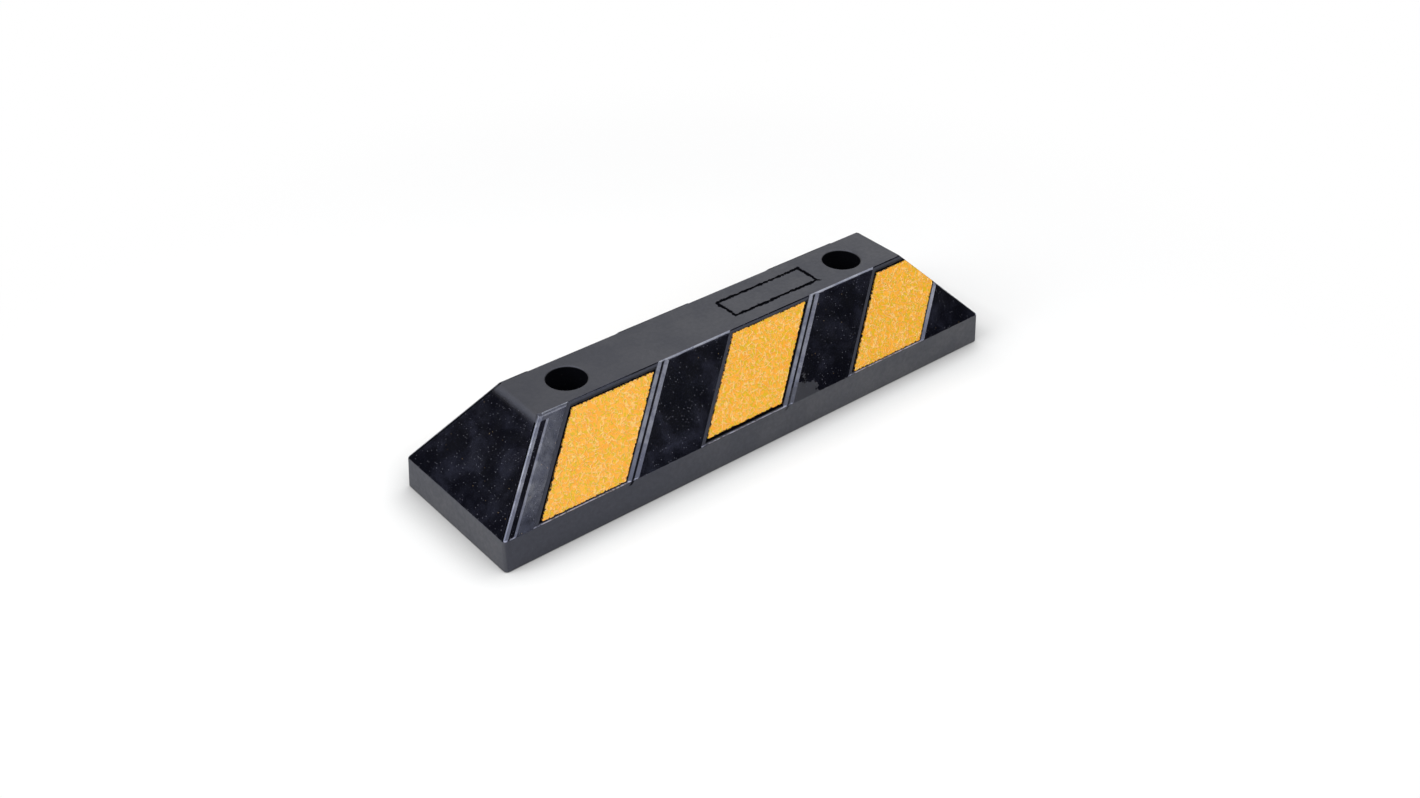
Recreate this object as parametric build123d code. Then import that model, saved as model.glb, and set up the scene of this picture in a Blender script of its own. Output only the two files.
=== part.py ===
"""Parking wheel stop: one moulded rubber body, six reflective films and two moulded-in steel washers.

Millimetres. X runs along the stop, Y across it, Z up. The origin is the centre of the flat underside.
The front slope faces -Y. The rear slope is its mirror image across the XZ plane.
"""

import os
from math import cos, hypot, radians, tan

from build123d import *

# --- overall form ---------------------------------------------------------------------------------
length = 550.0              # base, end to end
width = 150.0               # base, front to rear
height = 100.0              # ground to the top face
skirt_height = 30.0         # near-vertical band round the base
skirt_inset = 1.1           # mould draft of the skirt, taken at its top
end_run = 68.7              # how far each end slope runs in, from the skirt's top to the flat top
side_run = 43.7             # the same for the front and rear slopes
base_corner_radius = 3.5    # plan corners where the stop meets the ground
hip_radius = 4.0            # plan corners from the skirt's top up to the flat top
top_edge_radius = 4.0       # round between the flat top and the slopes
fold_radius = 2.0           # round between the slopes and the skirt
foot_chamfer = 0.8          # broken edge round the underside

# --- recesses in the long slopes --------------------------------------------------------------------
film_count = 3              # on each long side
first_film_from_end = 113.0    # from the left end to the first film's centre, at mid-height
last_film_from_end = 90.2      # from the right end to the last film's centre
film_lean = 39.5            # degrees that the films' sides lean towards +X
recess_depth = 1.5          # square to the slope, from the raised land to the recess
recess_edge_radius = 2.0    # round between the flat top and a recess
recess_low = 1.3            # lower edge of the recess, measured up the slope from the skirt
recess_left_run = 1.2       # how far the recess's left wall leans out along X
recess_right_run = 3.6      # the same for its wide right wall
recess_low_run = 0.9        # and for its lower wall, along the slope
margin_left = 4.0           # recess left bare beside the film's pocket, along X
margin_right = 0.3
margin_low = 0.1
pocket_depth = 3.0          # square to the slope, from the land to the pocket's floor
pocket_draft = 6.0          # degrees, on the pocket's walls
pocket_top_margin = 2.5     # from the pocket's floor up the slope to its sharp top corner
groove_depth = 0.7          # shallow groove in the land beside a recess
groove_offset = 1.2         # land left between the recess and the groove, along X
groove_left_run = 2.2       # the groove's steep flank, along X
groove_right_run = 4.6      # the groove's gentle flank, along X
hip_groove_depth = 0.5      # the same kind of groove beside the left hip
hip_groove_offset = 2.7     # from the sharp hip to the groove, along X
hip_groove_left_run = 6.4
hip_groove_right_run = 2.4
hip_groove_end = 5.0        # the groove stops this far short of the flat top's sharp corner, up the slope

# --- reflective films ---------------------------------------------------------------------------------
film_width = 85.5           # along X
film_thickness = 1.2
film_corner_radius = 1.0
film_gap_left = 2.2         # from the pocket's floor edge to a film laid at its nominal place
film_gap_right = 1.4
film_gap_low = 0.3
film_gap_high = 3.1
film_end_setback = 0.5      # a film cut off by a hip stops this short of the end slope
film_lay = ((0.3, 0.4), (-1.2, 2.7), (0.8, 0.0))    # where each film was laid: along X, up the slope

# --- top face ------------------------------------------------------------------------------------------
bolt_from_end = 118.0
counterbore_diameter = 36.0
counterbore_floor = 25.0    # height of the bolt's seat above the ground
bolt_diameter = 16.0
bolt_play = 1.5
rim_radius = 1.2
panel_length = 99.0         # blank rectangle outlined on the top face
panel_width = 28.0
panel_from_bolt = 91.5      # from the right bolt back to the rectangle's centre
panel_corner_radius = 2.0
panel_line_width = 1.3
panel_line_depth = 0.9

# --- moulded-in washers --------------------------------------------------------------------------------
washer_grip = 6.0           # rubber gripping the washer all round, outside the counterbore
washer_thickness = 4.0

# --- hollows cored into the underside --------------------------------------------------------------------
core_columns = 5            # between the two bolt holes
core_rib = 12.0             # rubber left between neighbouring cores, both ways
core_side_wall = 23.0       # rubber left at the front and rear, at the base
core_end_wall = 39.0        # rubber left at each end, at the base
core_depth = 45.0
end_core_depth = 28.0
core_draft = 4.0            # degrees
core_corner_chamfer = 7.0
boss_cover = 9.0            # solid rubber kept round each washer

# --- derived -----------------------------------------------------------------------------------------------
skirt_top_length = length - 2 * skirt_inset
skirt_top_width = width - 2 * skirt_inset
top_length = skirt_top_length - 2 * end_run
top_width = skirt_top_width - 2 * side_run
rise = height - skirt_height
slope_length = hypot(side_run, rise)
slope_sin = rise / slope_length
slope_cos = side_run / slope_length
overcut = 3.0               # how far a cutting tool reaches past the surface that it cuts
edge_width = 0.05           # width of a V tool's sharp edge
film_names = ("left", "middle", "right")
pocket_low = recess_low + margin_low + (pocket_depth - recess_depth) * tan(radians(pocket_draft))
pocket_high = slope_length - pocket_top_margin
film_height = pocket_high - pocket_low - film_gap_low - film_gap_high
bolt_x = length / 2 - bolt_from_end
bolt_xs = (-bolt_x, bolt_x)
bolt_hole_diameter = bolt_diameter + bolt_play
washer_diameter = counterbore_diameter + 2 * washer_grip
boss_radius = washer_diameter / 2 + boss_cover
core_length = (2 * (bolt_x - boss_radius) - (core_columns - 1) * core_rib) / core_columns
core_width = width / 2 - core_side_wall - core_rib / 2
end_core_length = length / 2 - core_end_wall - bolt_x - boss_radius

front_slope = Plane(
    origin=(0, -skirt_top_width / 2, skirt_height), x_dir=(1, 0, 0), z_dir=(0, -slope_sin, slope_cos)
)


def block(sections):
    """A ruled block through sections given as (length, width, corner radius, height)."""
    outlines = [Pos(0, 0, z) * RectangleRounded(long, wide, radius) for long, wide, radius, z in sections]
    return loft(outlines, ruled=True)


def ring_at(solid, z):
    """The closed ring of edges that lies flat at one height."""
    return [e for e in solid.edges() if abs((e @ 0).Z - z) < 0.01 and abs((e @ 1).Z - z) < 0.01]


def land_form():
    """The whole outside at the level of the raised lands: foot, skirt, slopes and flat top."""
    form = block((
        (length - 2 * foot_chamfer, width - 2 * foot_chamfer, base_corner_radius - foot_chamfer, 0),
        (length, width, base_corner_radius, foot_chamfer),
        (skirt_top_length, skirt_top_width, hip_radius, skirt_height),
        (top_length, top_width, hip_radius, height),
    ))
    form = fillet(ring_at(form, skirt_height), fold_radius)
    return fillet(ring_at(form, height), top_edge_radius)


def recessed_form():
    """The sloped block with its long slopes lowered to the recess, carried on down inside the skirt."""
    lowered = 2 * recess_depth / slope_sin
    below = skirt_height / 2
    form = block((
        (
            skirt_top_length + 2 * end_run * below / rise,
            skirt_top_width + 2 * side_run * below / rise - lowered,
            hip_radius,
            skirt_height - below,
        ),
        (top_length, top_width - lowered, hip_radius, height),
    ))
    return fillet(ring_at(form, height), recess_edge_radius)


def pocket_centres():
    """X of each pocket at the middle of its height, evenly spread between the first and the last."""
    first = first_film_from_end - length / 2
    last = length / 2 - last_film_from_end
    return [first + (last - first) * i / (film_count - 1) for i in range(film_count)]


def leaning(centre, left, right, low, high):
    """A parallelogram on the slope; left and right are distances from the centre at mid-height."""
    middle = (pocket_low + pocket_high) / 2

    def corner(x, up):
        return (centre + x + (up - middle) * tan(radians(film_lean)), up)

    return Polygon(corner(-left, low), corner(right, low), corner(right, high), corner(-left, high), align=None)


def tapered_cut(centre, depth, floor, runs):
    """A cutter from one depth out past the land, whose walls lean out by the given runs at the land."""
    reach = (depth + overcut) / depth
    mouth = [edge + run * reach for edge, run in zip(floor, runs)]
    left, right, low, high = floor
    mouth_left, mouth_right, mouth_low, mouth_high = mouth
    bottom = front_slope.offset(-depth) * leaning(centre, left, right, low, high)
    top = front_slope.offset(overcut) * leaning(centre, mouth_left, mouth_right, mouth_low, mouth_high)
    return loft([bottom, top], ruled=True)


def pocket_edges():
    """The pocket floor's left, right, low and high edges, about its centre."""
    return (film_width / 2 + film_gap_left, film_width / 2 + film_gap_right, pocket_low, pocket_high)


def pocket_cut(centre):
    """The straight-walled pocket that one film lies in."""
    lean_out = pocket_depth * tan(radians(pocket_draft))
    along_x = lean_out / cos(radians(film_lean))
    return tapered_cut(centre, pocket_depth, pocket_edges(), (along_x, along_x, -lean_out, lean_out))


def recess_sides():
    """The recess floor's left and right edges, about the pocket's centre."""
    left, right, _, _ = pocket_edges()
    wall = (pocket_depth - recess_depth) * tan(radians(pocket_draft)) / cos(radians(film_lean))
    return left + wall + margin_left, right + wall + margin_right


def recess_cut(centre):
    """The shallow recess round one pocket, open over the flat top's edge."""
    left, right = recess_sides()
    floor = (left, right, recess_low, slope_length + 2 * overcut)
    return tapered_cut(centre, recess_depth, floor, (recess_left_run, recess_right_run, -recess_low_run, 0))


def groove_cut(centre):
    """The shallow V that runs up the land to the right of one recess."""
    start = recess_sides()[1] + recess_right_run + groove_offset
    floor_line = start + groove_left_run
    end = floor_line + groove_right_run
    low, high = recess_low - recess_low_run, slope_length + overcut
    edge = front_slope.offset(-groove_depth) * leaning(centre, -floor_line, floor_line + edge_width, low, high)
    mouth = front_slope * leaning(centre, -start, end, low, high)
    return loft([edge, mouth], ruled=True)


def hip_x(up):
    """X of the sharp left hip, at a distance up the front slope."""
    return end_run * up / slope_length - skirt_top_length / 2


def hip_groove_cut():
    """The shallow V beside the left hip, which stops short of the flat top."""
    low, high = recess_low - recess_low_run, slope_length - hip_groove_end

    def strip(start, end):
        corners = [(hip_x(low) + start, low), (hip_x(low) + end, low), (hip_x(high) + end, high)]
        return Polygon(*corners, (hip_x(high) + start, high), align=None)

    floor_line = hip_groove_offset + hip_groove_left_run
    edge = front_slope.offset(-hip_groove_depth) * strip(floor_line, floor_line + edge_width)
    mouth = front_slope * strip(hip_groove_offset, floor_line + hip_groove_right_run)
    return loft([edge, mouth], ruled=True)


def film(centre, lay):
    """One reflective film lying on its pocket's floor, cut off where it would pass a hip."""
    shift, lift = lay
    low = pocket_low + film_gap_low + lift
    outline = leaning(centre + shift, film_width / 2, film_width / 2, low, low + film_height)
    outline = fillet(outline.vertices(), film_corner_radius)
    sheet = extrude(front_slope.offset(-pocket_depth) * outline, amount=film_thickness)
    return sheet & between_end_slopes()


def between_end_slopes():
    """Everything between the two end slopes, less the films' setback."""
    below = skirt_height
    low_x = skirt_top_length / 2 - film_end_setback + end_run * below / rise
    high_x = top_length / 2 - film_end_setback
    outline = Polygon((-low_x, 0), (low_x, 0), (high_x, height), (-high_x, height), align=None)
    return extrude(Plane.XZ * outline, amount=width, both=True)


def rear(shape):
    """The same shape on the rear slope."""
    return mirror(shape, about=Plane.XZ)


def bolt_cuts():
    """Counterbore, bolt hole and washer seat at each bolt."""
    cuts = []
    for x in bolt_xs:
        deep = height - counterbore_floor
        cuts.append(Pos(x, 0, counterbore_floor + deep / 2) * Cylinder(counterbore_diameter / 2, deep))
        cuts.append(Pos(x, 0, counterbore_floor / 2) * Cylinder(bolt_hole_diameter / 2, counterbore_floor))
        cuts.append(Pos(x, 0, washer_level()) * Cylinder(washer_diameter / 2, washer_thickness))
    return cuts


def washer_level():
    return counterbore_floor - washer_thickness / 2


def washer(x):
    """A steel ring moulded in flush with the counterbore's floor."""
    ring = Cylinder(washer_diameter / 2, washer_thickness) - Cylinder(bolt_hole_diameter / 2, washer_thickness)
    return Pos(x, 0, washer_level()) * ring


def panel_line():
    """The broken-edged line round the blank rectangle on the top face."""
    outer = RectangleRounded(panel_length, panel_width, panel_corner_radius)
    inner = RectangleRounded(
        panel_length - 2 * panel_line_width, panel_width - 2 * panel_line_width, panel_corner_radius / 2
    )
    place = Pos(bolt_x - panel_from_bolt, 0, height - panel_line_depth)
    return place * extrude(outer - inner, amount=panel_line_depth)


def core(x, y, long, deep):
    """One drafted hollow, open underneath."""
    outline = Rectangle(long, core_width)
    outline = chamfer(outline.vertices(), core_corner_chamfer)
    return Pos(x, y, 0) * extrude(outline, amount=deep, taper=core_draft)


def cores():
    """Two rows of hollows between the bolt bosses, and one pair beyond each boss."""
    pitch = core_length + core_rib
    middle_xs = [pitch * (i - (core_columns - 1) / 2) for i in range(core_columns)]
    end_x = bolt_x + boss_radius + end_core_length / 2
    rows = [(core_width + core_rib) / 2 * side for side in (-1, 1)]
    hollows = [core(x, y, core_length, core_depth) for x in middle_xs for y in rows]
    hollows += [core(x, y, end_core_length, end_core_depth) for x in (-end_x, end_x) for y in rows]
    return hollows


def rubber_body():
    """The moulded body with its recesses, pockets, grooves, bolt holes, panel line and cores."""
    body = land_form()
    lowered = recessed_form()
    centres = pocket_centres()
    front_cuts = [recess_cut(x) - lowered for x in centres]
    front_cuts += [pocket_cut(x) for x in centres]
    front_cuts += [groove_cut(x) for x in centres[:-1]] + [hip_groove_cut()]
    for cut in front_cuts:
        body = body - cut - rear(cut)
    for cut in bolt_cuts() + cores() + [panel_line()]:
        body = body - cut
    rims = [e for e in ring_at(body, height) if e.geom_type == GeomType.CIRCLE]
    rims = [e for e in rims if abs(e.radius - counterbore_diameter / 2) < 0.01]
    return fillet(rims, rim_radius)


def main():
    os.makedirs("parts", exist_ok=True)
    export_step(rubber_body(), "parts/rubber_body.step")
    for name, centre, lay in zip(film_names, pocket_centres(), film_lay):
        front = film(centre, lay)
        export_step(front, f"parts/reflective_film_front_{name}.step")
        export_step(rear(front), f"parts/reflective_film_rear_{name}.step")
    for name, x in zip(("left", "right"), bolt_xs):
        export_step(washer(x), f"parts/load_washer_{name}.step")


main()
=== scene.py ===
"""Looks of the parking wheel stop: rubber with polished lands, embossed reflective films, steel washers.

Everything is in metres, in the row frame: X along the stop, Y across it, Z up, the front slope facing -Y.
"""

from functools import cached_property
from math import copysign, cos, hypot, pi, radians, sin, tan

import bpy
from mathutils import Matrix, Vector


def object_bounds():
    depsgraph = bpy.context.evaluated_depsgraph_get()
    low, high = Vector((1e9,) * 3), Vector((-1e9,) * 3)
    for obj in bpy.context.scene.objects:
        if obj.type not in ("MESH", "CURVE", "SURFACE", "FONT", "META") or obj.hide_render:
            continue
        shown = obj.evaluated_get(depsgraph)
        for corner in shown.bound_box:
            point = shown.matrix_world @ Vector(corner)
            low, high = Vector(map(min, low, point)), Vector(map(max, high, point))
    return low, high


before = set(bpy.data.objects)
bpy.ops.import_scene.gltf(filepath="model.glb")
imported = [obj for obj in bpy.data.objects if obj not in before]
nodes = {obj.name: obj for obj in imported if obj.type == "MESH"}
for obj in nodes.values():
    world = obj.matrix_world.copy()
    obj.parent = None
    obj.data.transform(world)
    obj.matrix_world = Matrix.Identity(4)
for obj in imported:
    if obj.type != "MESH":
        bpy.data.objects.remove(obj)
cad_low, cad_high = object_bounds()
scene = bpy.context.scene

# --- the moulded form, from which the materials find the lands, the slopes and the flat top ---------------
MM = 0.001
HALF_LENGTH = cad_high.x
HALF_WIDTH = cad_high.y
TOP = cad_high.z

SKIRT_TOP = 30 * MM
SKIRT_INSET = 1.1 * MM          # how far in from its foot the skirt's top is
SIDE_RUN = 43.7 * MM            # of the front and rear slopes
END_RUN = 68.7 * MM
RISE = TOP - SKIRT_TOP
SLOPE = hypot(SIDE_RUN, RISE)
LEAN = radians(39.5)            # of the films' and grooves' sides, towards +X
MIDDLE_UP = 40.8 * MM           # up the slope, where the pockets' places are measured
GROOVE_XS = (-111.9 * MM, 61.5 * MM)
BLOOM_X = 72 * MM               # where the grey skin reaches up the foot of a land
WELL_X = 157 * MM
WELL_RADIUS = 18 * MM
WELL_RIM = 0.5 * MM
PANEL_X = 65.5 * MM
PANEL_HALF_LENGTH = 49.5 * MM
PANEL_HALF_WIDTH = 14 * MM
PANEL_LINE = 1.3 * MM
PANEL_DEPTH = 1.0 * MM


def mm(*values):
    return tuple(value * MM for value in values)


def from_skirt(*values):
    return tuple(SKIRT_TOP + value for value in mm(*values))


# --- where one finish of the rubber turns into another, as the two ends of a smooth step ------------------

# signed heights over the side slopes' planes; the recesses' floors are under them
LAND = mm(-1.46, -1.34)
BROW_WALL = mm(-2.9, -2.5)
POCKET_WALL = mm(-2.2, -1.7)
POCKET_FLOOR = mm(-3.6, -3.3)
MARGIN_FOOT = mm(-1.8, -1.6)
MARGIN_HEAD = mm(-1.46, -1.4)
LEDGE_INSIDE = mm(-1.5, -1.3)
LEDGE_OUTSIDE = mm(-0.3, -0.1)

# signed heights over the end slopes' planes
END_LAND = mm(-1.6, -0.9)

# depths under the flat top
LAND_HEAD = mm(0.15, 0.85)
END_LAND_HEAD = mm(1.0, 8.0)
BROW_HEAD = mm(0.01, 0.1)
BROW_FOOT = mm(0.9, 1.3)
SLOPES_HEAD = mm(0.2, 0.6)
WELL_HEAD = mm(0.5, 1.6)

# heights
POLISH_FOOT = from_skirt(-0.2, 0.6)
# where the skirt's painted shade ends, going up
SKIRT_SHADE_HEAD = from_skirt(-0.5, 1.5)
LEDGE_FOOT = from_skirt(-0.1, 0.0)
LEDGE_HEAD = from_skirt(0.8, 1.1)
SHEEN_FOOT = from_skirt(4, 26)

# lengths along the slopes and the stop
BLOOM_EDGE = mm(19, 21)
# the band over which the painted shade in a groove fades out
GROOVE_SHADE_EDGE = mm(1.3, 1.9)       # from a groove's middle
OPEN_POCKET = mm(0.3, 0.7)      # past the lowest film's top edge
# spans of X over which the matte is painted with shade, darker towards the left
SKIRT_SHADE_SPAN = (-1.1 * HALF_LENGTH, 0.9 * HALF_LENGTH)
SHADE_SPAN = (-HALF_LENGTH, 0.6 * HALF_LENGTH)
END_FACE = (HALF_LENGTH - 3 * MM, HALF_LENGTH - 1.5 * MM)

# --- colours ----------------------------------------------------------------------------------------------
MATTE_DARK = (0.047, 0.0455, 0.0400, 1)
MATTE_LIGHT = (0.070, 0.0670, 0.059, 1)
MATTE_MOTTLE = (0.043, 0.0415, 0.037, 1)
# painted shade, laid on the matte darker to the left and most on the skirt
MATTE_PAINTED_SHADE = (0.021, 0.020, 0.018, 1)
# painted shade on the recess margins beside the films
MARGIN_SHADE = (0.008, 0.008, 0.010, 1)
POLISH_CLEAN = (0.0010, 0.0010, 0.0026, 1)
POLISH_HAZY = (0.0125, 0.0130, 0.0215, 1)
# painted shade in the gaps, the bolt holes, the panel line and the grooves
CREVICE_SHADE = (0.0015, 0.0015, 0.0020, 1)
# painted highlight on the ledge under each film
LEDGE_HIGHLIGHT = (0.26, 0.265, 0.33, 1)
GREY_DUST = (0.13, 0.13, 0.15, 1)
YELLOW_DUST = (0.22, 0.15, 0.07, 1)
RUBBER_TINT = (0.66, 0.71, 1.0, 1)

FILM_DEEP = (0.90, 0.372, 0.028, 1)
FILM_BRIGHT = (0.93, 0.424, 0.043, 1)
FILM_OLIVE = (0.72, 0.43, 0.010, 1)
# painted highlight on the film's worm crests
FILM_CREST_HIGHLIGHT = (0.98, 0.62, 0.23, 1)
NIB_BLACK = (0.004, 0.004, 0.006, 1)

ZINC_DARK = (0.42, 0.43, 0.45, 1)
ZINC_LIGHT = (0.56, 0.57, 0.58, 1)
STEEL_DIRT = (0.16, 0.15, 0.14, 1)

LAMP_COLOUR = (0.96, 0.975, 1.0)
BACKDROP = (1, 1, 1, 1)
ROOM = (0.93, 0.95, 1.0, 1)
FLOOR_LIT = (0.70, 0.70, 0.70, 1)
FLOOR_SEEN = (0.84, 0.83, 0.81)

RUBBER_IOR = 1.7
ROOM_STRENGTH = 0.04

# the Mix node's sockets for a, b and the result; it has a set for each type of data
MIX_SOCKETS = {"FLOAT": (2, 3, 0), "RGBA": (6, 7, 2)}


# --- node graphs ------------------------------------------------------------------------------------------

class Graph:
    """The node tree of a material or a world, with short calls for the nodes that repeat."""

    def __init__(self, owner):
        owner.use_nodes = True
        self.owner = owner
        self.tree = owner.node_tree
        self.tree.nodes.clear()

    def node(self, kind, inputs, **settings):
        """A new node, with its inputs by name or number, each a constant or another node's output."""
        made = self.tree.nodes.new(kind)
        for key, value in settings.items():
            setattr(made, key, value)
        for key, value in inputs.items():
            if isinstance(value, bpy.types.NodeSocket):
                self.tree.links.new(value, made.inputs[key])
            else:
                made.inputs[key].default_value = value
        return made

    @cached_property
    def place(self):
        """The point's place in the row frame, with the pieces at rest."""
        return self.node("ShaderNodeTexCoord", {}).outputs["Object"]

    @cached_property
    def seen(self):
        """1 for the camera's own rays, 0 for all others."""
        return self.node("ShaderNodeLightPath", {}).outputs["Is Camera Ray"]

    def coordinates(self):
        return self.node("ShaderNodeSeparateXYZ", {0: self.place}).outputs

    def math(self, operation, a, b=0.0, c=0.0):
        return self.node("ShaderNodeMath", {0: a, 1: b, 2: c}, operation=operation).outputs[0]

    def product(self, first, *others):
        for other in others:
            first = self.math("MULTIPLY", first, other)
        return first

    def largest(self, first, *others):
        for other in others:
            first = self.math("MAXIMUM", first, other)
        return first

    def apart(self, a, b):
        return self.math("ABSOLUTE", self.math("SUBTRACT", a, b))

    def past(self, value, half, middle=0.0):
        """How far outside a band, half wide to either side of its middle, a value is."""
        return self.math("SUBTRACT", self.apart(value, middle), half)

    def rest(self, share):
        return self.math("SUBTRACT", 1.0, share)

    def ramp(self, value, limits, results=(0.0, 1.0)):
        """Smooth step of a value over the two limits, mapped to the two results."""
        inputs = dict(enumerate((value, *limits, *results)))
        return self.node("ShaderNodeMapRange", inputs, interpolation_type="SMOOTHSTEP").outputs[0]

    def fall(self, value, limits):
        return self.ramp(value, limits, (1.0, 0.0))

    def noise(self, scale, detail=3.0, rough=0.55, distortion=0.0):
        inputs = {"Vector": self.place, "Scale": scale, "Detail": detail}
        inputs |= {"Roughness": rough, "Distortion": distortion}
        return self.node("ShaderNodeTexNoise", inputs).outputs["Fac"]

    def ragged(self, noise, spread, offset):
        """A length in millimetres that wanders with the noise."""
        return self.math("MULTIPLY_ADD", noise, spread * MM, offset * MM)

    def cells(self, scale):
        """Distance from the middle of a random cell, and the cell's random colour as three numbers."""
        found = self.node("ShaderNodeTexVoronoi", {"Vector": self.place, "Scale": scale}, feature="F1")
        colour = self.node("ShaderNodeSeparateColor", {0: found.outputs["Color"]})
        return found.outputs["Distance"], colour.outputs

    def mix(self, factor, a, b, kind="RGBA"):
        """From a to b: two colours, or two numbers where kind is FLOAT."""
        first, second, result = MIX_SOCKETS[kind]
        made = self.node("ShaderNodeMix", {"Factor": factor, first: a, second: b}, data_type=kind)
        return made.outputs[result]

    def bump(self, height, distance, strength, under=None):
        inputs = {"Strength": strength, "Distance": distance * MM, "Height": height}
        if under:
            inputs["Normal"] = under
        return self.node("ShaderNodeBump", inputs).outputs[0]

    def shader(self, kind, **inputs):
        named = {key.replace("_", " "): value for key, value in inputs.items()}
        return self.node(kind, named).outputs[0]

    def mix_shaders(self, factor, a, b):
        return self.node("ShaderNodeMixShader", {0: factor, 1: a, 2: b}).outputs[0]

    def finished(self, shader, kind="ShaderNodeOutputMaterial"):
        self.node(kind, {"Surface": shader})
        return self.owner


# --- places on the slopes ---------------------------------------------------------------------------------

def on_slope(g):
    """How far up the front or rear slope a point is, and its X with the films' lean taken out."""
    x, _, height = g.coordinates()
    up = g.math("MULTIPLY_ADD", height, SLOPE / RISE, -SKIRT_TOP * SLOPE / RISE)
    leaned = g.math("MULTIPLY_ADD", up, tan(LEAN), -MIDDLE_UP * tan(LEAN))
    return up, g.math("SUBTRACT", x, leaned)


def over_slopes(g, coordinate, half_size, height, run):
    """Signed height over the planes of the two slopes that face each other along one coordinate."""
    slope = hypot(run, RISE)
    outward = g.math("MULTIPLY", g.past(coordinate, half_size - SKIRT_INSET), RISE / slope)
    upward = g.math("MULTIPLY_ADD", height, run / slope, -SKIRT_TOP * run / slope)
    return g.math("ADD", outward, upward)


def film_extent(node):
    """Lowest and highest of both of on_slope's numbers, over the film's outer face."""
    corners = []
    for face in node.data.polygons:
        outward = Vector((0, copysign(RISE, face.center.y), SIDE_RUN)) / SLOPE
        if face.normal.dot(outward) > 0.95:
            corners += [node.data.vertices[i].co for i in face.vertices]
    ups = [(corner.z - SKIRT_TOP) * SLOPE / RISE for corner in corners]
    uprights = [corner.x - (up - MIDDLE_UP) * tan(LEAN) for corner, up in zip(corners, ups)]
    return min(ups), max(ups), min(uprights), max(uprights)


extents = {name: film_extent(node) for name, node in nodes.items() if name.startswith("reflective_film")}
LOWEST_FILM_TOP = min(extent[1] for extent in extents.values())


# --- rubber -----------------------------------------------------------------------------------------------

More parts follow.
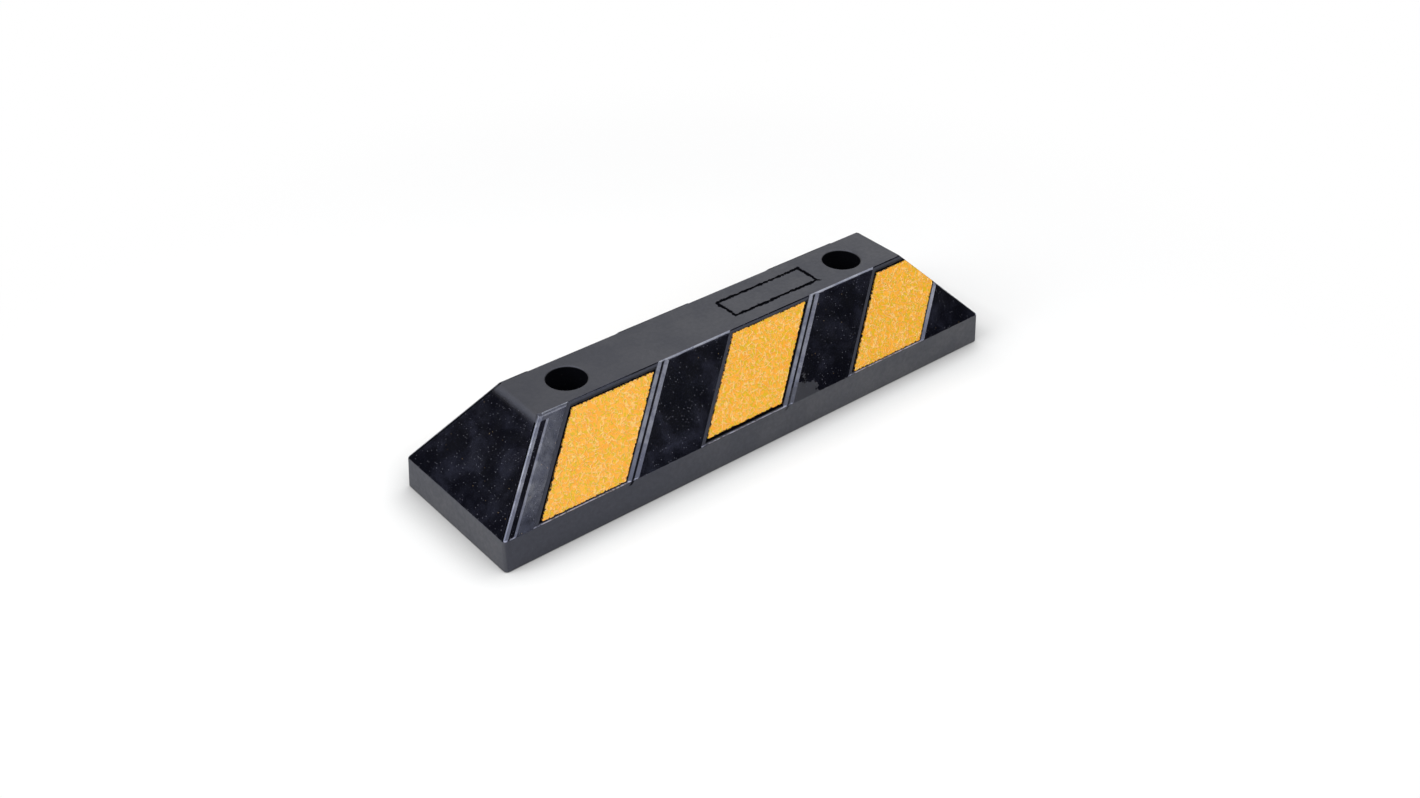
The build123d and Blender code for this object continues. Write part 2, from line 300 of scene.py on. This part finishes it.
class Rubber(Graph):
    """Rubber: matte and grey on the skirt and the top, polished on the slopes, black in the gaps as painted
    shade.
    """

    def __init__(self):
        super().__init__(bpy.data.materials.new("moulded_rubber"))
        self.x, self.y, self.height = self.coordinates()
        self.up, self.upright = on_slope(self)
        self.side = over_slopes(self, self.y, HALF_WIDTH, self.height, SIDE_RUN)
        self.end = over_slopes(self, self.x, HALF_LENGTH, self.height, END_RUN)
        self.below_top = self.math("SUBTRACT", TOP, self.height)
        over_skirt = self.math("GREATER_THAN", self.height, SKIRT_TOP)
        self.on_slopes = self.product(over_skirt, self.ramp(self.below_top, SLOPES_HEAD))

        self.wander = self.ragged(self.noise(160, 2.0), 1.2, -0.6)
        self.mottle = self.noise(240, 3.0, 0.6)
        self.haze = self.noise(34, 5.0, 0.65, distortion=0.4)
        self.lands = self.polished_lands()
        self.polished = self.all_polished()
        # painted shade: the gaps round the films, the bolt holes, the panel line and the grooves go near
        # black
        groove_shades = [self.groove_shade(groove_x) for groove_x in GROOVE_XS]
        self.dark = self.largest(self.pocket_gaps(), self.wells(), self.panel_line(), *groove_shades)

    def polished_lands(self):
        """The side slopes outside the recesses, except where the grey skin reaches up from the skirt."""
        from_bloom = self.math("MULTIPLY", self.apart(self.upright, BLOOM_X), 0.7)
        reach = self.math("ADD", from_bloom, self.ragged(self.noise(70, 4.0, 0.65), -34, 17))
        bloomed = self.ramp(self.math("ADD", reach, self.up), BLOOM_EDGE, (0.5, 0.0))
        on_side = self.product(self.ramp(self.side, LAND), self.ramp(self.below_top, LAND_HEAD))
        return self.product(on_side, self.rest(bloomed))

    def all_polished(self):
        """The lands, the end slopes and a thin brow over the recesses."""
        from_top = self.math("ADD", self.below_top, self.wander)
        ends = self.product(self.ramp(self.end, END_LAND), self.ramp(from_top, END_LAND_HEAD))
        brow = self.product(
            self.ramp(self.below_top, BROW_HEAD),
            self.fall(self.below_top, BROW_FOOT),
            self.ramp(self.side, BROW_WALL),
        )
        foot = self.ramp(self.math("MULTIPLY_ADD", self.wander, 0.5, self.height), POLISH_FOOT)
        return self.product(self.largest(self.lands, ends, brow), foot)

    def pocket_gaps(self):
        """Painted shade in the gap round each film, less dark where a pocket is open above its film."""
        torn = self.ragged(self.noise(420, 3.0, 0.65), 2.4, -0.9)
        past_film = self.math("SUBTRACT", self.math("SUBTRACT", self.up, torn), LOWEST_FILM_TOP)
        return self.product(
            self.fall(self.side, POCKET_WALL),
            self.ramp(self.side, POCKET_FLOOR),
            self.on_slopes,
            self.ramp(past_film, OPEN_POCKET, (1.0, 0.35)),
        )

    # painted shade: the bolt holes painted dark down from the top
    def wells(self):
        from_well = self.math("SUBTRACT", self.math("ABSOLUTE", self.x), WELL_X)
        squares = self.math("ADD", self.product(from_well, from_well), self.product(self.y, self.y))
        inside = self.math("LESS_THAN", self.math("SQRT", squares), WELL_RADIUS + WELL_RIM)
        return self.product(inside, self.ramp(self.below_top, WELL_HEAD))

    def panel_line(self):
        """Painted shade in the line engraved round the empty panel on the flat top, with ragged edges."""
        past_ends = self.past(self.x, PANEL_HALF_LENGTH, PANEL_X)
        past_edges = self.largest(past_ends, self.past(self.y, PANEL_HALF_WIDTH))
        from_line = self.math("ABSOLUTE", self.math("ADD", past_edges, PANEL_LINE / 2))
        half_line = self.ragged(self.noise(170, 4.0, 0.7), 8.0, -2.3)
        on_top = self.math("LESS_THAN", self.below_top, PANEL_DEPTH)
        return self.product(self.math("LESS_THAN", from_line, half_line), on_top)

    # painted shade in the groove beside each film, on the polished lands
    def groove_shade(self, groove_x):
        from_groove = self.apart(self.upright, groove_x)
        return self.product(self.ramp(from_groove, GROOVE_SHADE_EDGE, (0.9, 0.0)), self.lands)

    def ledge_highlight(self):
        """A pale highlight painted on the ledge under each film, broken by noise."""
        return self.product(
            self.ramp(self.side, LEDGE_INSIDE),
            self.fall(self.side, LEDGE_OUTSIDE),
            self.ramp(self.height, LEDGE_FOOT),
            self.fall(self.height, LEDGE_HEAD),
            self.ramp(self.noise(210, 3.0, 0.7), (0.40, 0.55), (0.15, 0.9)),
        )

    def matte_colour(self):
        """Random grey tone; painted shade, darker to the left, most on the skirt and least on the end faces;
        painted shade on the recess margins.
        """
        matte = self.mix(self.ramp(self.noise(22, 4.0, 0.6), (0.36, 0.64)), MATTE_DARK, MATTE_LIGHT)
        matte = self.mix(self.ramp(self.mottle, (0.35, 0.65), (0.0, 0.25)), matte, MATTE_MOTTLE)

        on_skirt = self.fall(self.height, SKIRT_SHADE_HEAD)
        skirt_shade = self.ramp(self.x, SKIRT_SHADE_SPAN, (0.39, -0.20))
        # painted shade: darker to the left, more on the skirt and less on the end faces
        painted_shade = self.math("MULTIPLY_ADD", on_skirt, skirt_shade, self.ramp(self.x, SHADE_SPAN, (0.66, 0.30)))
        end_face = self.ramp(self.math("ABSOLUTE", self.x), END_FACE, (1.0, 0.42))
        matte = self.mix(self.product(painted_shade, end_face), matte, MATTE_PAINTED_SHADE)

        # painted shade on the recess margins, where the land's wall would shade them
        margin_shade = self.product(
            self.ramp(self.side, MARGIN_FOOT), self.fall(self.side, MARGIN_HEAD), self.on_slopes, 0.6,
        )
        return self.mix(margin_shade, matte, MARGIN_SHADE)

    def dusted(self, colour):
        """The colour under sparse grey specks and a few yellow ones, which show most on what is polished."""
        distance, chances = self.cells(480)
        speck = self.product(self.math("GREATER_THAN", chances[0], 0.72), self.fall(distance, (0.10, 0.28)))
        strength = self.math("MULTIPLY_ADD", self.polished, 0.5, 0.12)
        tint = self.mix(self.math("GREATER_THAN", chances[1], 0.96), GREY_DUST, YELLOW_DUST)
        return self.mix(self.product(speck, strength), colour, tint)

    def colour(self):
        gloss = self.mix(self.ramp(self.haze, (0.42, 0.78)), POLISH_CLEAN, POLISH_HAZY)
        colour = self.mix(self.polished, self.matte_colour(), gloss)
        # painted shade in the gaps, holes, panel line and grooves
        colour = self.mix(self.dark, colour, CREVICE_SHADE)
        # painted highlight on the ledges under the films
        return self.dusted(self.mix(self.ledge_highlight(), colour, LEDGE_HIGHLIGHT))

    def roughness(self):
        matte = self.ramp(self.mottle, (0.3, 0.7), (0.58, 0.68))
        gloss = self.ramp(self.haze, (0.3, 0.75), (0.12, 0.22))
        return self.mix(self.dark, self.mix(self.polished, matte, gloss, "FLOAT"), 0.95, "FLOAT")

    def sheen(self):
        """The polish's cloudy gloss, which rises up the slopes."""
        clouds = self.noise(75, 4.0, 0.65, distortion=0.5)
        return self.product(
            self.polished,
            self.ramp(clouds, (0.36, 0.62), (0.3, 1.0)),
            self.ramp(self.height, SHEEN_FOOT, (0.2, 1.0)),
            self.rest(self.dark),
        )

    def relief(self):
        """A long wave, and a fine grain that the polish takes off."""
        grain = self.noise(900, 2.0)
        height = self.mix(self.polished, grain, self.math("MULTIPLY", grain, 0.12), "FLOAT")
        return self.bump(height, 0.12, 0.8, self.bump(self.noise(45, 2.0), 0.5, 0.35))

    def material(self):
        return self.finished(self.shader(
            "ShaderNodeBsdfPrincipled",
            Base_Color=self.colour(),
            Roughness=self.roughness(),
            Normal=self.relief(),
            # metal of a near-black colour keeps the painted shade in the gaps black
            Metallic=self.math("MULTIPLY", self.dark, 0.9),
            IOR=RUBBER_IOR,
            Specular_Tint=RUBBER_TINT,
            Coat_Weight=self.sheen(),
            Coat_Roughness=0.11,
            Coat_IOR=RUBBER_IOR,
        ))


# --- films and washers ------------------------------------------------------------------------------------

def film(name):
    """Yellow film embossed with fine worms, their crests painted pale as a highlight; black rubber has
    flashed over its edges in small torn nibs.
    """
    g = Graph(bpy.data.materials.new(name))
    worms = g.noise(250, 0.0, 0.4, distortion=0.6)
    crest = g.fall(g.apart(worms, 0.5), (0.0, 0.085))
    lumps = g.noise(140, 2.0, 0.5)
    fleck = g.noise(340, 1.0, 0.5, distortion=0.8)
    colour = g.mix(g.ramp(lumps, (0.38, 0.62)), FILM_DEEP, FILM_BRIGHT)
    colour = g.mix(g.ramp(fleck, (0.50, 0.59)), colour, FILM_OLIVE)
    # painted highlight along the worms' crests
    colour = g.mix(g.math("MULTIPLY", crest, 0.60), colour, FILM_CREST_HIGHLIGHT)

    low, high, left, right = extents[name]
    up, upright = on_slope(g)
    past_ends = g.past(up, (high - low) / 2, (low + high) / 2)
    past_sides = g.past(upright, (right - left) / 2, (left + right) / 2)
    past_edges = g.largest(past_ends, g.math("MULTIPLY", past_sides, cos(LEAN)))
    nib = g.math("GREATER_THAN", past_edges, g.ragged(g.noise(380, 3.0, 0.7), -5.5, 2.5))
    return g.finished(g.shader(
        "ShaderNodeBsdfPrincipled",
        Base_Color=g.mix(nib, colour, NIB_BLACK),
        Roughness=0.34,
        Normal=g.bump(g.math("MULTIPLY_ADD", lumps, 0.6, crest), 0.8, 0.6),
    ))


def steel():
    """Zinc-coated steel: a fine spangle with dirt on it."""
    g = Graph(bpy.data.materials.new("zinc_coated_steel"))
    _, chances = g.cells(260)
    dirt = g.ramp(g.noise(180, 4.0), (0.4, 0.7))
    spangle = g.mix(chances[0], ZINC_DARK, ZINC_LIGHT)
    return g.finished(g.shader(
        "ShaderNodeBsdfPrincipled",
        Base_Color=g.mix(g.math("MULTIPLY", dirt, 0.5), spangle, STEEL_DIRT),
        Roughness=g.ramp(dirt, (0.0, 1.0), (0.32, 0.55)),
        Metallic=1.0,
        Normal=g.bump(g.noise(600, 2.0), 0.05, 0.5),
    ))


rubber_finish = Rubber().material()
steel_finish = steel()
for name, node in nodes.items():
    if name in extents:
        material = film(name)
    elif name.startswith("load_washer"):
        material = steel_finish
    else:
        material = rubber_finish
    for slot in node.material_slots:
        slot.material = material

# --- camera -----------------------------------------------------------------------------------------------
AZIMUTH = radians(40.03)        # of the line of sight, from +Y towards +X
ELEVATION = radians(34.82)      # below the horizon
ROLL = radians(0.64)
DISTANCE = 1.4542
TARGET = Vector((-0.02818, -0.03258, 0.04))
LENS = 41.82

sight = Vector((cos(ELEVATION) * sin(AZIMUTH), cos(ELEVATION) * cos(AZIMUTH), -sin(ELEVATION)))
level = sight.cross(Vector((0, 0, 1))).normalized()
upward = level.cross(sight)
right = cos(ROLL) * level + sin(ROLL) * upward
up = cos(ROLL) * upward - sin(ROLL) * level
camera_data = bpy.data.cameras.new("camera")
camera_data.lens = LENS
camera_data.sensor_width = 36
camera_data.clip_start = 0.01
camera = bpy.data.objects.new("camera", camera_data)
scene.collection.objects.link(camera)
turn = Matrix((right, up, -sight)).transposed().to_4x4()
camera.matrix_world = Matrix.Translation(TARGET - DISTANCE * sight) @ turn
scene.camera = camera


# --- light ------------------------------------------------------------------------------------------------

def softbox(name, azimuth, elevation, distance, wide, high, radiance):
    """A soft panel seen from the stop at an azimuth from -Y towards +X, facing the stop."""
    a, e = radians(azimuth), radians(elevation)
    away = Vector((sin(a) * cos(e), -cos(a) * cos(e), sin(e)))
    data = bpy.data.lights.new(name, "AREA")
    data.shape = "RECTANGLE"
    data.size = wide
    data.size_y = high
    data.energy = radiance * pi * wide * high
    data.color = LAMP_COLOUR
    lamp = bpy.data.objects.new(name, data)
    lamp.location = away * distance
    lamp.rotation_mode = "QUATERNION"
    lamp.rotation_quaternion = (-away).to_track_quat("-Z", "Y")
    lamp.visible_camera = False
    scene.collection.objects.link(lamp)


softbox("front_softbox", -14, 44, 2.4, 3.45, 1.8, 2.2)
softbox("left_softbox", -98, 38, 2.4, 1.6, 2.3, 4.5)
softbox("top_softbox", 110, 74, 1.8, 2.6, 2.2, 0.8)
softbox("right_softbox", 103, 51, 2.4, 2.1, 1.1, 2.2)


def studio():
    """A dim room that the camera sees as a plain white backdrop."""
    g = Graph(bpy.data.worlds.new("studio"))
    room = g.shader("ShaderNodeBackground", Color=ROOM, Strength=ROOM_STRENGTH)
    backdrop = g.shader("ShaderNodeBackground", Color=BACKDROP, Strength=1.0)
    return g.finished(g.mix_shaders(g.seen, room, backdrop), "ShaderNodeOutputWorld")


scene.world = studio()

# --- floor ------------------------------------------------------------------------------------------------
FLOOR_REACH = 12.0
FLOOR_LEVEL = -0.2 * MM         # just under the stop, so that the two faces are not in one plane
CONTACT_REACH = 0.06            # of the soft shade where the stop meets the floor
CONTACT_POWER = 0.75
CONTACT_SAMPLES = 16
WHITE_OUT = (0.32, 0.75)        # from the stop's middle, where the floor goes over into the backdrop
WHITE_SHARES = (0.22, 1.0)


def pale_floor():
    """A pale floor that, for the camera alone, has the contact shade and goes over into white."""
    g = Graph(bpy.data.materials.new("pale_floor"))
    nearby = g.node("ShaderNodeAmbientOcclusion", {"Distance": CONTACT_REACH}, samples=CONTACT_SAMPLES)
    contact = g.math("POWER", nearby.outputs["AO"], CONTACT_POWER)
    shaded = g.node("ShaderNodeVectorMath", {0: FLOOR_SEEN, "Scale": contact}, operation="SCALE")
    from_middle = g.node("ShaderNodeVectorMath", {0: g.place}, operation="LENGTH").outputs["Value"]
    white_share = g.product(g.seen, g.ramp(from_middle, WHITE_OUT, WHITE_SHARES))
    diffuse = g.shader("ShaderNodeBsdfDiffuse", Color=g.mix(g.seen, FLOOR_LIT, shaded.outputs[0]))
    return g.finished(g.mix_shaders(white_share, diffuse, g.shader("ShaderNodeEmission", Strength=contact)))


mesh = bpy.data.meshes.new("floor")
corners = [(-1, -1), (1, -1), (1, 1), (-1, 1)]
mesh.from_pydata([(FLOOR_REACH * x, FLOOR_REACH * y, 0) for x, y in corners], [], [(0, 1, 2, 3)])
floor = bpy.data.objects.new("floor", mesh)
floor.location.z = FLOOR_LEVEL
scene.collection.objects.link(floor)
mesh.materials.append(pale_floor())

scene.view_settings.view_transform = "Standard"
